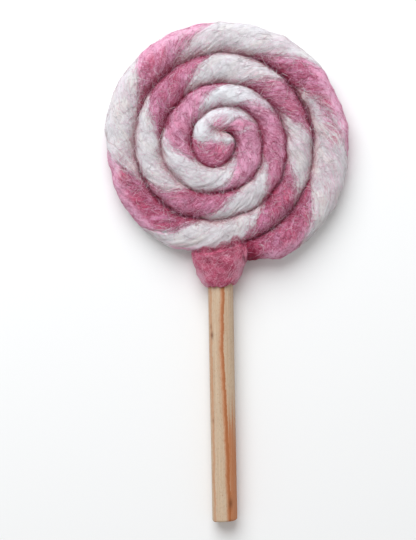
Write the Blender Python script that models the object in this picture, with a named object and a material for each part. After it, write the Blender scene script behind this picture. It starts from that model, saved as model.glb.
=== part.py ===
"""A felt toy lollipop, lying on its back with its face up.

Two strands of wool roving, one pink and one white, are twisted into a rope. The rope is coiled flat,
from a small hook in the middle out to the rim, and its last turn is bound to a wooden stick by a felt
collar. The head lies towards +Y, the stick towards -Y, and the face looks up, along +Z.
"""

import math

import bpy
import numpy as np

MM = 0.001

# Plan of the coil, seen from above, from the pole that it winds round. An angle runs clockwise, starts
# at the left of the pole and goes on growing from turn to turn.
KNOT_STEP_DEG = 45.0

# Radius of the seam that parts each turn from the next one, at each knot. The last turn of it is the rim.
SEAM_START_DEG = 90.0
SEAM_MM = (
    3.4, 4.2, 5.1, 5.5, 7.5, 8.9,
    9.2, 10.1, 11.4, 13.5, 13.7, 15.2, 16.1, 18.0,
    18.7, 18.6, 19.2, 20.3, 21.2, 23.3, 24.3, 26.7,
    27.3, 27.7, 28.8, 29.0, 29.6, 31.6, 32.7, 36.3,
    37.0, 38.2, 38.6, 40.1, 40.6, 41.5, 38.4,
)
ROPE_END_DEG = 1338.0
SPOKE_STEP_DEG = 5.0

# Where the coil's edge bulges out, or stays further in: middle and half length of the stretch in degrees,
# and how far. The first of them lies beside the collar.
BULGES = ((1002.0, 18.0, 3.3), (1255.0, 45.0, 0.6), (1334.0, 10.0, -0.7))

# The inner end of the rope is folded into a hook. These are pairs of points (x right, y up) from its
# blunt tip on: one on the crease inside the fold, and the one across the rope from it.
HOOK_INNER_MM = (
    (4.6, 0.9), (3.2, 1.9), (1.2, 2.5), (-0.8, 3.1), (-2.1, 4.0),
    (-2.6, 4.7), (-2.6, 5.1), (-2.2, 5.2), (-1.3, 4.2),
)
HOOK_OUTER_MM = (
    (4.8, -1.4), (3.7, -3.6), (1.6, -6.3), (-2.6, -7.5), (-6.6, -5.3),
    (-8.5, -1.2), (-8.6, 3.3), (-7.0, 7.0), (-3.8, 9.9),
)

# Section of the rope: a rounded square, pressed flat at the sides by its neighbours and underneath by
# the table.
ROPE_HEIGHT_MM = 9.8
PRESSED_FLAT_MM = 0.4
SECTION_SQUARENESS = 2.4
SEAM_GAP_MM = 0.4
END_ROUNDING_MM = 3.0
END_SCALE = 0.6

# The twist. Along the crest of the rope white changes to pink, and pink to white, at these angles. The
# first change of all lies on the hook, where a length from the tip says where it is.
HOOK_PINK_TO_WHITE_MM = 7.0
PINK_TO_WHITE_DEG = (248, 431, 576, 677, 790, 885, 966, 1056, 1150, 1237)
WHITE_TO_PINK_DEG = (126, 349, 492, 626, 739, 845, 926, 1017, 1111, 1204, 1297)
FIRST_PITCH_MM = 40.0
LAST_PITCH_MM = 62.0
STRAND_GAP_MM = 0.3
VALLEY_DEPTH_MM = 0.4

# How finely the rope is cut into rings, and each strand's share of a ring into points.
RING_STEP_MM = 2.8
HOOK_RING_STEP_MM = 1.6
ARC_POINTS = {"pink": 8, "white": 9}
FIRST_WALL_POINTS = 2

# The stick, a wooden dowel that leans a little to the right and down to the table.
STICK_DIAMETER_MM = 8.0
STICK_TOP_MM = (0.0, -37.2, 5.0)
STICK_FOOT_MM = (1.6, -121.1, 3.9)
STICK_EDGE_MM = 0.7
STICK_SIDES = 32

# The collar, wrapped round the stick and over the edge of the last turn: height above its lower edge,
# width and depth.
COLLAR_FOOT_Y_MM = -46.0
COLLAR_PROFILE_MM = (
    (0.0, 9.6, 9.2),
    (0.7, 11.6, 10.0),
    (2.0, 13.2, 10.4),
    (3.8, 14.7, 10.7),
    (6.4, 16.0, 10.9),
    (8.9, 17.6, 11.0),
    (11.0, 17.8, 11.0),
    (12.4, 16.0, 10.8),
    (13.4, 12.6, 10.6),
    (13.9, 9.0, 10.4),
)
COLLAR_CENTRE_X_MM = 0.1
COLLAR_CENTRE_Z_MM = 5.2
COLLAR_SIDES = 28
COLLAR_SQUARENESS = 2.3

# The collar is cut clear of the rope and of the stick by this gap, and open at both of its ends.
FIT_GAP_MM = 0.35
CUTTER_SIDES = 24
CUTTER_SPARE_MM = 6.0

SHARP_EDGE_DEG = 50.0

PINK = (0.50, 0.150, 0.235, 1.0)
DEEP_PINK = (0.42, 0.105, 0.170, 1.0)
WHITE = (0.70, 0.64, 0.64, 1.0)
WOOD = (0.58, 0.40, 0.25, 1.0)


def clear_scene():
    for obj in list(bpy.data.objects):
        bpy.data.objects.remove(obj)


def through_knots(x, knots, values):
    """A smooth curve through knots, which goes on straight beyond the first and the last of them."""
    slopes = np.gradient(values, knots)
    i = np.clip(np.searchsorted(knots, x) - 1, 0, len(knots) - 2)
    width = knots[i + 1] - knots[i]
    t = np.clip((x - knots[i]) / width, 0.0, 1.0)
    curve = (
        (2 * t**3 - 3 * t**2 + 1) * values[i]
        + (t**3 - 2 * t**2 + t) * width * slopes[i]
        + (3 * t**2 - 2 * t**3) * values[i + 1]
        + (t**3 - t**2) * width * slopes[i + 1]
    )
    before = slopes[0] * np.minimum(x - knots[0], 0.0)
    beyond = slopes[-1] * np.maximum(x - knots[-1], 0.0)
    return curve + before + beyond


def signed_power(value, exponent):
    return np.sign(value) * np.abs(value) ** exponent


def bulge(angle):
    return sum(far * np.exp(-(((angle - middle) / half) ** 2)) for middle, half, far in BULGES)


class Rope:
    """The rope's two sides, height and twist, as functions of the length along its middle in mm."""

    def __init__(self):
        per_turn = int(360 / KNOT_STEP_DEG)
        seam = np.array(SEAM_MM)
        knots = SEAM_START_DEG + KNOT_STEP_DEG * np.arange(len(seam) - per_turn)
        self.angles = np.append(np.arange(SEAM_START_DEG, ROPE_END_DEG, SPOKE_STEP_DEG), ROPE_END_DEG)
        turned = np.radians(self.angles)
        spokes = np.stack([-np.cos(turned), np.sin(turned)], 1)
        inner = through_knots(self.angles, knots, seam[:-per_turn]) + bulge(self.angles - 360)
        outer = through_knots(self.angles, knots, seam[per_turn:]) + bulge(self.angles)
        self.inner = np.concatenate([HOOK_INNER_MM, spokes * inner[:, None]])
        self.outer = np.concatenate([HOOK_OUTER_MM, spokes * outer[:, None]])

        steps = np.linalg.norm(np.diff((self.inner + self.outer) / 2, axis=0), axis=1)
        self.lengths = np.concatenate([[0.0], np.cumsum(steps)])
        self.length = self.lengths[-1]
        self.hook_length = self.lengths[len(HOOK_INNER_MM)]

        to_white = [HOOK_PINK_TO_WHITE_MM, *self.length_at(PINK_TO_WHITE_DEG)]
        to_pink = self.length_at(WHITE_TO_PINK_DEG)
        self.to_white = self.twist(to_white, 0)
        self.to_pink = self.twist(to_pink, 1)

    def length_at(self, angle):
        return np.interp(angle, self.angles, self.lengths[len(HOOK_INNER_MM):])

    def twist(self, crossings, first_turn):
        """A colour edge's crossings of the crest, one more at each end, and its turns made by each."""
        at = [crossings[0] - FIRST_PITCH_MM, *crossings, crossings[-1] + LAST_PITCH_MM]
        return np.array(at), first_turn - 1 + np.arange(len(at))

    def edge_angle(self, twist, at):
        """Where round the section a colour edge lies: 0 at the inner side, a quarter turn at the crest."""
        return 2 * math.pi * (0.25 + np.interp(at, *twist))

    def frame(self, at):
        """Middle point, outward direction and width at a length along the rope."""
        inner, outer = [
            np.array([through_knots(at, self.lengths, side[:, k]) for k in (0, 1)])
            for side in (self.inner, self.outer)
        ]
        width = np.linalg.norm(outer - inner)
        return (inner + outer) / 2, (outer - inner) / width, width - SEAM_GAP_MM

    def end_scale(self, at):
        """Both ends are rounded off."""
        left = min(at, self.length - at) / END_ROUNDING_MM
        if left >= 1.0:
            return 1.0
        return END_SCALE + (1 - END_SCALE) * math.sqrt(1 - (1 - left) ** 2)

    def half_size(self, at):
        scale = self.end_scale(at) / 2
        return self.frame(at)[2] * scale, ROPE_HEIGHT_MM * scale

    def point(self, at, angle, half_width, half_height, floor=0.0):
        """A point on a section of this size, at an angle round it, and no lower than the floor."""
        place, outward, _ = self.frame(at)
        side = -half_width * signed_power(np.cos(angle), 2 / SECTION_SQUARENESS)
        rise = half_height * signed_power(np.sin(angle), 2 / SECTION_SQUARENESS)
        height = ROPE_HEIGHT_MM / 2 - PRESSED_FLAT_MM + rise
        return np.array([*(place + outward * side), max(height, floor)])


def add_object(name, points_mm, faces, colour, roughness=0.9):
    mesh = bpy.data.meshes.new(name)
    mesh.from_pydata((np.asarray(points_mm) * MM).tolist(), [], faces)
    mesh.shade_smooth()
    mesh.set_sharp_from_angle(angle=math.radians(SHARP_EDGE_DEG))
    obj = bpy.data.objects.new(name, mesh)
    bpy.context.scene.collection.objects.link(obj)
    if colour is not None:
        material = bpy.data.materials.new(name)
        material.use_nodes = True
        shader = material.node_tree.nodes["Principled BSDF"]
        shader.inputs["Base Color"].default_value = colour
        shader.inputs["Roughness"].default_value = roughness
        shader.inputs["Metallic"].default_value = 0.0
        mesh.materials.append(material)
    return obj


def skin_rings(rings, turned_from=0):
    """Triangles between neighbouring rings of equally many points, with both ends closed.

    Before the ring position turned_from, quads are split along their other diagonal.
    """
    count = len(rings[0])
    faces = []
    for i in range(len(rings) - 1):
        here, there = i * count, (i + 1) * count
        for j in range(count):
            k = (j + 1) % count
            a, b, c, d = here + j, here + k, there + k, there + j
            if j < turned_from:
                faces += [(a, c, b), (a, d, c)]
            else:
                faces += [(a, d, b), (b, d, c)]
    last = (len(rings) - 1) * count
    faces.append(tuple(range(count)))
    faces.append(tuple(last + j for j in reversed(range(count))))
    return [tuple(p) for ring in rings for p in ring], faces


def ring_lengths(rope):
    """Where the rope is cut into rings: closer together in the tight hook and at both rounded ends."""
    hook = np.linspace(0, rope.hook_length, round(rope.hook_length / HOOK_RING_STEP_MM), endpoint=False)
    tail_start = rope.length - END_ROUNDING_MM
    body_rings = round((tail_start - rope.hook_length) / RING_STEP_MM)
    body = np.linspace(rope.hook_length, tail_start, body_rings, endpoint=False)
    tail = tail_start + END_ROUNDING_MM * np.array([0.0, 0.5, 0.85, 1.0])
    return np.concatenate([hook, body, tail])


def strand_ring(rope, at, start, end, arc_points):
    """One section of a strand: its apex near the rope's middle, a wall, the skin and the other wall."""
    half_gap = STRAND_GAP_MM / 2
    width, height = rope.half_size(at)
    pulled_in = half_gap / min(width, height)
    spread = np.linspace(start + pulled_in, end - pulled_in, arc_points)
    dips = VALLEY_DEPTH_MM * np.linspace(-1, 1, arc_points) ** 6
    skin = [rope.point(at, a, width - dip, height - dip) for a, dip in zip(spread, dips, strict=True)]

    place, outward, _ = rope.frame(at)
    middle = np.array([*place, ROPE_HEIGHT_MM / 2 - PRESSED_FLAT_MM])
    bisector = (start + end) / 2
    away = half_gap / math.sin((end - start) / 2)
    apex = middle + np.array([*(-outward * math.cos(bisector)), math.sin(bisector)]) * away
    return [apex, (apex + skin[0]) / 2, *skin, (apex + skin[-1]) / 2]


def make_strand(rope, name, colour, arc_points, starts, ends):
    rings = [
        strand_ring(rope, at, start, end, arc_points)
        for at, start, end in zip(ring_lengths(rope), starts, ends, strict=True)
    ]
    points, faces = skin_rings(rings, turned_from=FIRST_WALL_POINTS)
    return add_object(name, points, faces, colour)


def make_strands(rope):
    at = ring_lengths(rope)
    to_white = rope.edge_angle(rope.to_white, at)
    to_pink = rope.edge_angle(rope.to_pink, at)
    next_white = to_white + 2 * math.pi
    make_strand(rope, "pink_strand", PINK, ARC_POINTS["pink"], to_white, to_pink)
    make_strand(rope, "white_strand", WHITE, ARC_POINTS["white"], to_pink, next_white)


def along_stick(y):
    """The point of the stick's axis at this y."""
    top, foot = np.array(STICK_TOP_MM), np.array(STICK_FOOT_MM)
    return top + (foot - top) * (y - top[1]) / (foot[1] - top[1])


def round_bar(top, foot, rings):
    """Rings of a round bar: for each its distance from the top and its radius."""
    axis = (foot - top) / np.linalg.norm(foot - top)
    side = np.cross(axis, [0.0, 0.0, 1.0])
    side /= np.linalg.norm(side)
    up = np.cross(side, axis)
    turns = 2 * math.pi * np.arange(STICK_SIDES) / STICK_SIDES
    return [
        [top + axis * way + radius * (math.cos(t) * side + math.sin(t) * up) for t in turns]
        for way, radius in rings
    ]


def make_stick():
    top, foot = np.array(STICK_TOP_MM), np.array(STICK_FOOT_MM)
    length = np.linalg.norm(foot - top)
    edge = [
        (STICK_EDGE_MM * (1 - math.cos(t)), STICK_DIAMETER_MM / 2 - STICK_EDGE_MM * (1 - math.sin(t)))
        for t in np.linspace(0, math.pi / 2, 4)
    ]
    rings = edge + [(length - way, radius) for way, radius in reversed(edge)]
    points, faces = skin_rings(
        [[(x, y, max(z, 0.0)) for x, y, z in ring] for ring in round_bar(top, foot, rings)]
    )
    return add_object("stick", points, faces, WOOD, roughness=0.6)


def collar_ring(above_foot, width, depth):
    turns = 2 * math.pi * np.arange(COLLAR_SIDES) / COLLAR_SIDES
    x = COLLAR_CENTRE_X_MM + width / 2 * signed_power(np.cos(turns), 2 / COLLAR_SQUARENESS)
    z = COLLAR_CENTRE_Z_MM + depth / 2 * signed_power(np.sin(turns), 2 / COLLAR_SQUARENESS)
    y = COLLAR_FOOT_Y_MM + above_foot
    return [(px, y, max(pz, 0.0)) for px, pz in zip(x, z, strict=True)]


def rope_cutter(rope, name, start_deg, end_deg):
    """A stretch of the whole rope, a little longer and fatter than it is."""
    start, end = rope.length_at([start_deg, end_deg])
    turns = 2 * math.pi * np.arange(CUTTER_SIDES) / CUTTER_SIDES
    rings = []
    for at in np.linspace(start, end + FIT_GAP_MM, round((end - start) / RING_STEP_MM)):
        half_width = rope.frame(at)[2] / 2 + FIT_GAP_MM
        half_height = ROPE_HEIGHT_MM / 2 + FIT_GAP_MM
        rings.append([rope.point(at, a, half_width, half_height, floor=-FIT_GAP_MM) for a in turns])
    points, faces = skin_rings(rings)
    return add_object(name, points, faces, None)


def stick_cutter():
    top = along_stick(STICK_TOP_MM[1] + CUTTER_SPARE_MM)
    foot = along_stick(COLLAR_FOOT_Y_MM - CUTTER_SPARE_MM)
    radius = STICK_DIAMETER_MM / 2 + FIT_GAP_MM
    points, faces = skin_rings(round_bar(top, foot, [(0.0, radius), (np.linalg.norm(foot - top), radius)]))
    return add_object("stick_cutter", points, faces, None)


def make_collar(rope):
    points, faces = skin_rings([collar_ring(*row) for row in COLLAR_PROFILE_MM])
    collar = add_object("collar", points, faces, DEEP_PINK)
    cutters = [
        rope_cutter(rope, "turn_cutter", 900.0, 1080.0),
        rope_cutter(rope, "end_cutter", 1290.0, ROPE_END_DEG),
        stick_cutter(),
    ]
    for cutter in cutters:
        cutter.hide_render = True
        cutter.display_type = "WIRE"
        cut = collar.modifiers.new(cutter.name, "BOOLEAN")
        cut.operation = "DIFFERENCE"
        cut.object = cutter
    return collar


def centre_on_origin():
    """Puts the middle of the whole object's footprint at the origin, with the table at z = 0."""
    graph = bpy.context.evaluated_depsgraph_get()
    shown = [o for o in bpy.context.scene.objects if not o.hide_render]
    corners = np.array([v.co for o in shown for v in o.evaluated_get(graph).data.vertices])
    middle = (corners.min(0) + corners.max(0)) / 2
    for obj in bpy.context.scene.objects:
        obj.location = (-middle[0], -middle[1], 0.0)


def main():
    clear_scene()
    rope = Rope()
    make_strands(rope)
    make_stick()
    make_collar(rope)
    centre_on_origin()


main()
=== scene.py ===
import functools
import math

import bpy
import numpy as np
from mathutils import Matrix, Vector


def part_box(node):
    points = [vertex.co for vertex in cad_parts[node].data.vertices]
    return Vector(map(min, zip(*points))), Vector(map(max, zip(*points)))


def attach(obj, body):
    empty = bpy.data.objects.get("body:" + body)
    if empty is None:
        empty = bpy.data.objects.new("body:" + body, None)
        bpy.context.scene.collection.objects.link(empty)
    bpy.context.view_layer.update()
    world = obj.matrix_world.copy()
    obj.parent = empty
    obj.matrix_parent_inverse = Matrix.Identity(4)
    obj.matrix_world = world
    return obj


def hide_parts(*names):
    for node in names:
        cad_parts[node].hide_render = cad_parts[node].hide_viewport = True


# The looks of a felt toy lollipop that lies on its back. Lengths are in millimetres. The plan is seen from
# above, from the pole that the coil winds round: x to the right, y up, and angles clockwise from the left.

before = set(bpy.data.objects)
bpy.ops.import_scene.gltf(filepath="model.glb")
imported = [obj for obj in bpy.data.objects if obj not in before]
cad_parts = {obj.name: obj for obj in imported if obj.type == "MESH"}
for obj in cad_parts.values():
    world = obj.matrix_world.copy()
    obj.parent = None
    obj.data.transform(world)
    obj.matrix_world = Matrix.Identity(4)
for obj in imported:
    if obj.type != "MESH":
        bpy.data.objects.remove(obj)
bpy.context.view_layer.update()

MM = 0.001
SEED = 11
TURN = 2 * math.pi

# The coil, as in the solids: radius of the seam between its turns every 45 degrees, and the hook
# at its middle as pairs of points across the rope.
KNOT_STEP_DEG = 45.0
SEAM_START_DEG = 90.0
SEAM = (
    3.4, 4.2, 5.1, 5.5, 7.5, 8.9,
    9.2, 10.1, 11.4, 13.5, 13.7, 15.2, 16.1, 18.0,
    18.7, 18.6, 19.2, 20.3, 21.2, 23.3, 24.3, 26.7,
    27.3, 27.7, 28.8, 29.0, 29.6, 31.6, 32.7, 36.3,
    37.0, 38.2, 38.6, 40.1, 40.6, 41.5, 38.4,
)
ROPE_END_DEG = 1338.0
SPOKE_STEP_DEG = 5.0
HOOK_INNER = (
    (4.6, 0.9), (3.2, 1.9), (1.2, 2.5), (-0.8, 3.1), (-2.1, 4.0),
    (-2.6, 4.7), (-2.6, 5.1), (-2.2, 5.2), (-1.3, 4.2),
)
HOOK_OUTER = (
    (4.8, -1.4), (3.7, -3.6), (1.6, -6.3), (-2.6, -7.5), (-6.6, -5.3),
    (-8.5, -1.2), (-8.6, 3.3), (-7.0, 7.0), (-3.8, 9.9),
)
ROPE_HEIGHT = 9.8
PRESSED_FLAT = 0.4
SQUARENESS = 2.4
SEAM_GAP = 0.05
END_ROUNDING = 3.0
END_SCALE = 0.7

# How far a seam strays from its smooth line, how full the seams are as a share of half the rope's height, and
# how far the rope's sides draw back in a cleft and spread at the hook.
SEAM_WANDER = 0.17
SEAM_FILL = 0.48
HOOK_FILL = 0.86
CLEFT_FILL = 0.14
CLEFT_WIDTH = 0.02
HOOK_SPREAD_IN = 0.8
HOOK_SPREAD_OUT = 0.55

# The felt's relief: lumps, ridges along the strands, and the furrow between the two strands.
LUMP = 0.15
RIDGE = 0.06
SMALL_RIDGE = 0.03
VALLEY_DEPTH = 0.22
VALLEY_HALF_WIDTH = 0.9

# The twist: where along the crest one colour gives way to the other.
HOOK_PINK_TO_WHITE = 7.0
PINK_TO_WHITE_DEG = (248, 431, 576, 677, 790, 885, 966, 1056, 1150, 1237)
WHITE_TO_PINK_DEG = (126, 349, 492, 626, 739, 845, 926, 1017, 1111, 1204, 1297)
FIRST_PITCH = 40.0
LAST_PITCH = 62.0

# How an even helix is changed, so that a border crosses the crest as before but soon drops into the seams.
STEEP_REACH = 0.70
STEEPNESS = 0.43

# Which of the rope's edges a strand lies between.
PINK_EDGES = (0, 1)
WHITE_EDGES = (1, 2)

# Where hand rolling moved a colour border round the rope: length along the rope, and degrees.
PINK_FROM_WANDER = (
    (0, 50), (2, 42), (5, -4), (9, -27), (11, -33), (13, -28), (14, -10), (16, 0), (320, 0), (342, -38),
    (356, -10), (370, 0), (385, -12), (400, -12), (430, -8), (440, 4), (445, 0), (450, -24), (457, -38),
    (465, -42), (490, -60), (509, -120),
)
PINK_TO_WANDER = (
    (22, -38), (25, -32), (26.4, 0), (28.5, 16), (31.8, 29), (36, 15), (42, 0),
    (360, 0), (372, -26), (377, -22), (381, 2), (385, -6), (395, 0), (420, 0), (430, -16), (440, -16),
    (452, 0), (509, 0),
)

# Where the coil's edge bulges out or lies further in, a little finer than in the solids: angle, half length
# in degrees, and how far.
BULGES = (
    (1004, 25, 2.7), (1009, 7, -0.7), (1071, 12, -0.8), (1145, 20, 0.2), (1241, 9, -0.4),
    (1265, 45, 0.7), (1320, 10, 0.9), (1332, 7, -0.9),
)

# Where a seam gapes: angle of the turn inside it, half length in degrees, and how far from 0 to 1.
CLEFTS = ((868, 34, 1), (1320, 14, 0.7), (674, 30, 0.7))

# The stick and the collar, in the plan of the coil.
STICK_RADIUS = 4.0
STICK_TOP = (0.0, -37.2, 5.0)
STICK_FOOT = (1.6, -121.1, 3.9)
STICK_EDGE = 0.7
COLLAR_FOOT_Y = -46.0
# Height above the collar's foot, and its width and depth there.
COLLAR_PROFILE = (
    (0.0, 8.6, 8.8), (0.6, 9.8, 9.6), (1.5, 11.4, 10.1), (2.8, 13.0, 10.5), (4.2, 14.1, 10.7),
    (6.4, 15.4, 10.9), (8.9, 17.2, 11.0), (11.0, 17.6, 11.0), (12.4, 17.0, 10.8), (13.9, 16.0, 10.4),
)
COLLAR_CENTRE_X = -0.2
COLLAR_CENTRE_Z = 5.2
COLLAR_SQUARENESS = 2.3
COLLAR_LIP = ((-8.3, -35.3), (-5.4, -33.9), (-1.6, -33.3), (4.8, -32.3), (6.7, -31.2))


def through_knots(x, knots, values):
    """A smooth curve through knots, which goes on straight beyond the first and the last of them."""
    slopes = np.gradient(values, knots)
    i = np.clip(np.searchsorted(knots, x) - 1, 0, len(knots) - 2)
    width = knots[i + 1] - knots[i]
    t = np.clip((x - knots[i]) / width, 0.0, 1.0)
    curve = (
        (2 * t**3 - 3 * t**2 + 1) * values[i]
        + (t**3 - 2 * t**2 + t) * width * slopes[i]
        + (3 * t**2 - 2 * t**3) * values[i + 1]
        + (t**3 - t**2) * width * slopes[i + 1]
    )
    before = slopes[0] * np.minimum(x - knots[0], 0.0)
    beyond = slopes[-1] * np.maximum(x - knots[-1], 0.0)
    return curve + before + beyond


def signed_power(value, exponent):
    return np.sign(value) * np.abs(value) ** exponent


def smooth_step(low, high, x):
    t = np.clip((x - low) / (high - low), 0.0, 1.0)
    return t * t * (3 - 2 * t)


def unit(vectors):
    return vectors / np.maximum(np.linalg.norm(vectors, axis=-1, keepdims=True), 1e-9)


def table_at(table, x):
    """A table of pairs, read at x."""
    return np.interp(x, *zip(*table, strict=True))


def swell(table, angle):
    """Smooth bumps, each given by its middle, half length and height, added up."""
    return sum(far * np.exp(-(((angle - middle) / half) ** 2)) for middle, half, far in table)


class Waves:
    """A smooth random field: a sum of plane waves with wavelengths between two sizes."""

    def __init__(self, seed, shortest, longest, count=24):
        rng = np.random.default_rng(seed)
        size = TURN / np.exp(rng.uniform(math.log(shortest), math.log(longest), count))
        self.directions = unit(rng.normal(size=(count, 3))) * size[:, None]
        self.phases = rng.uniform(0, TURN, count)
        self.scale = math.sqrt(2 / count)

    def __call__(self, points):
        return np.sin(points @ self.directions.T + self.phases).sum(-1) * self.scale


class Strands:
    """A random field on the rope's skin, drawn out along the strands: waves round and along it."""

    def __init__(self, seed, fewest, most, shortest, longest, count=30):
        rng = np.random.default_rng(seed)
        self.around = rng.integers(fewest, most + 1, count)
        lengths = rng.uniform(shortest, longest, count) * rng.choice([-1, 1], count)
        self.along = TURN / lengths
        self.phases = rng.uniform(0, TURN, count)
        self.scale = math.sqrt(2 / count)

    def __call__(self, at, phase):
        total = np.zeros(np.broadcast(at, phase).shape)
        for n, k, p in zip(self.around, self.along, self.phases, strict=True):
            total += np.sin(n * phase + k * at + p)
        return total * self.scale


SEAM_WAVES = Waves(SEED + 20, 4.5, 14.0)
COLLAR_WAVES = Waves(SEED + 7, 3.0, 10.0)
COLLAR_LUMPS = Waves(SEED + 8, 2.5, 8.0)


def seam_waves(places):
    """How far a seam strays here, the same for the turns on both its sides."""
    return SEAM_WAVES(np.concatenate([places, np.zeros((len(places), 1))], 1))


def steepened(angle):
    """An even helix, changed so that it crosses the crest as before but soon drops into the seams."""
    upper = np.radians(np.linspace(-90.0, 90.0, 61))
    reach = STEEP_REACH * upper * (1 + STEEPNESS * (1 - (upper / upper[-1]) ** 2))
    reach = np.append(reach, TURN - reach[-1])
    upper = np.append(upper, 1.5 * math.pi)
    past_crest = (angle - math.pi / 2 - reach[0]) % TURN + reach[0]
    return angle - past_crest + np.interp(past_crest, reach, upper)


def filled(rise, fill=SEAM_FILL):
    """The seams between the turns are closed up to part of the rope's height."""
    return (np.maximum(rise, 0.0) ** 4 + fill**4) ** 0.25


def seam_radii(angle):
    """Radii of the seams on the inner and on the outer side of the rope."""
    seam = np.array(SEAM)
    per_turn = int(360 / KNOT_STEP_DEG)
    knots = SEAM_START_DEG + KNOT_STEP_DEG * np.arange(len(seam) - per_turn)
    inner = through_knots(angle, knots, seam[:-per_turn]) + swell(BULGES, angle - 360)
    outer = through_knots(angle, knots, seam[per_turn:]) + swell(BULGES, angle)
    return inner, outer


class Rope:
    """The felted rope's skin, as a function of the length along it and the angle round it."""

    def __init__(self):
        lengths, inner, outer = self.measured_points()
        self.length = lengths[-1]
        self.polar_lengths = lengths[len(HOOK_INNER):]
        self.last_turn = self.length_at(ROPE_END_DEG - 360)

        self.at = np.arange(0.0, self.length, 0.1)
        inner, outer = (
            np.stack([through_knots(self.at, lengths, side[:, k]) for k in (0, 1)], 1)
            for side in (inner, outer)
        )
        self.spokes = unit(outer - inner)
        inner_stray, outer_stray = self.strays(smooth_step(lengths[4], lengths[12], self.at), inner, outer)
        inner = inner + self.spokes * inner_stray[:, None]
        outer = outer + self.spokes * outer_stray[:, None]
        self.middles = (inner + outer) / 2
        self.half_widths = (np.linalg.norm(outer - inner, axis=1) - SEAM_GAP) / 2

        self.to_white = self.twist([HOOK_PINK_TO_WHITE, *self.length_at(PINK_TO_WHITE_DEG)], 0)
        self.to_pink = self.twist(self.length_at(WHITE_TO_PINK_DEG), 1)
        self.lumps = Waves(SEED, 5.0, 13.0)
        self.ridges = Strands(SEED + 1, 7, 20, 14.0, 60.0)
        self.small_ridges = Strands(SEED + 2, 18, 34, 6.0, 24.0)

    def measured_points(self):
        """Lengths along the rope with points of its inner and outer side, the hook's and then the coil's."""
        self.angles = np.append(np.arange(SEAM_START_DEG, ROPE_END_DEG, SPOKE_STEP_DEG), ROPE_END_DEG)
        turned = np.radians(self.angles)
        spokes = np.stack([-np.cos(turned), np.sin(turned)], 1)
        inner, outer = (spokes * radii[:, None] for radii in seam_radii(self.angles))
        inner = np.concatenate([HOOK_INNER, inner])
        outer = np.concatenate([HOOK_OUTER, outer])
        steps = np.linalg.norm(np.diff((inner + outer) / 2, axis=0), axis=1)
        return np.concatenate([[0.0], np.cumsum(steps)]), inner, outer

    def strays(self, on_turns, inner, outer):
        """How far outwards the rope's inner and outer side stray from their smooth lines."""
        turned = self.angle_at(self.at)
        at_edge = 0.5 * smooth_step(self.last_turn - 6, self.last_turn + 6, self.at)
        in_hook = 1 - smooth_step(11.0, 18.0, self.at)
        inner_stray = on_turns * SEAM_WANDER * seam_waves(inner)
        outer_stray = on_turns * SEAM_WANDER * seam_waves(outer) * (1 - at_edge)
        inner_stray += CLEFT_WIDTH * swell(CLEFTS, turned - 360) - HOOK_SPREAD_IN * in_hook
        outer_stray += HOOK_SPREAD_OUT * (1 - on_turns) - CLEFT_WIDTH * swell(CLEFTS, turned)
        return inner_stray, outer_stray

    def length_at(self, angle):
        return np.interp(angle, self.angles, self.polar_lengths)

    def angle_at(self, at):
        return np.interp(at, self.polar_lengths, self.angles)

    def cleft_at(self, at, cos):
        """How far the seam beside this place gapes."""
        turned = self.angle_at(at)
        gapes = np.where(cos > 0, swell(CLEFTS, turned - 360), swell(CLEFTS, turned))
        return gapes * smooth_step(0.0, 0.5, np.abs(cos))

    def twist(self, crossings, first_turn):
        """Lengths where a border crosses the crest, with one more at each end, and the turns made by then."""
        at = np.array([crossings[0] - FIRST_PITCH, *crossings, crossings[-1] + LAST_PITCH])
        return at, first_turn - 1 + np.arange(len(at))

    def edges(self, at):
        """Angles round the section where pink begins, where it ends, and where white ends again."""
        pink_from = TURN * (0.25 + np.interp(at, *self.to_white))
        pink_to = TURN * (0.25 + np.interp(at, *self.to_pink))
        pink_from = pink_from + np.radians(table_at(PINK_FROM_WANDER, at))
        pink_to = pink_to + np.radians(table_at(PINK_TO_WANDER, at))
        past_hook = smooth_step(30.0, 60.0, at)
        pink_from, pink_to = (a + past_hook * (steepened(a) - a) for a in (pink_from, pink_to))
        return pink_from, pink_to, pink_from + TURN

    def twist_phase(self, at):
        """How far the rope has twisted by here, as an angle."""
        return math.pi * (0.5 + np.interp(at, *self.to_white) + np.interp(at, *self.to_pink))

    def end_scale(self, at):
        left = np.clip(np.minimum(at, self.length - at) / END_ROUNDING, 0.0, 1.0)
        return END_SCALE + (1 - END_SCALE) * np.sqrt(1 - (1 - left) ** 2)

    def section(self, at):
        """Middle, spoke and half sizes of the section at these lengths."""
        middle = np.stack([np.interp(at, self.at, self.middles[:, k]) for k in (0, 1)], -1)
        spoke = unit(np.stack([np.interp(at, self.at, self.spokes[:, k]) for k in (0, 1)], -1))
        scale = self.end_scale(at)
        return middle, spoke, np.interp(at, self.at, self.half_widths) * scale, ROPE_HEIGHT / 2 * scale

    def touch(self, at, cos):
        """1 on the sides of the rope that touch another turn, 0 on the coil's free edge."""
        return np.where(cos > 0, 1.0, 1 - smooth_step(self.last_turn - 6, self.last_turn + 2, at))

    def valley(self, at, angle):
        """Depth of the furrow between the two strands here."""
        pink_from, pink_to, _ = self.edges(at)
        gaps = [np.abs((angle - edge + math.pi) % TURN - math.pi) for edge in (pink_from, pink_to)]
        distance = np.minimum(*gaps) * ROPE_HEIGHT / 2
        return VALLEY_DEPTH * np.exp(-((distance / VALLEY_HALF_WIDTH) ** 2))

    def fill(self, at, cos):
        """How full the seam beside this place is."""
        in_hook = smooth_step(0.0, 0.6, cos) * (1 - smooth_step(24.0, 34.0, at))
        in_cleft = self.cleft_at(at, cos)
        return SEAM_FILL + (HOOK_FILL - SEAM_FILL) * in_hook + (CLEFT_FILL - SEAM_FILL) * in_cleft

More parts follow.
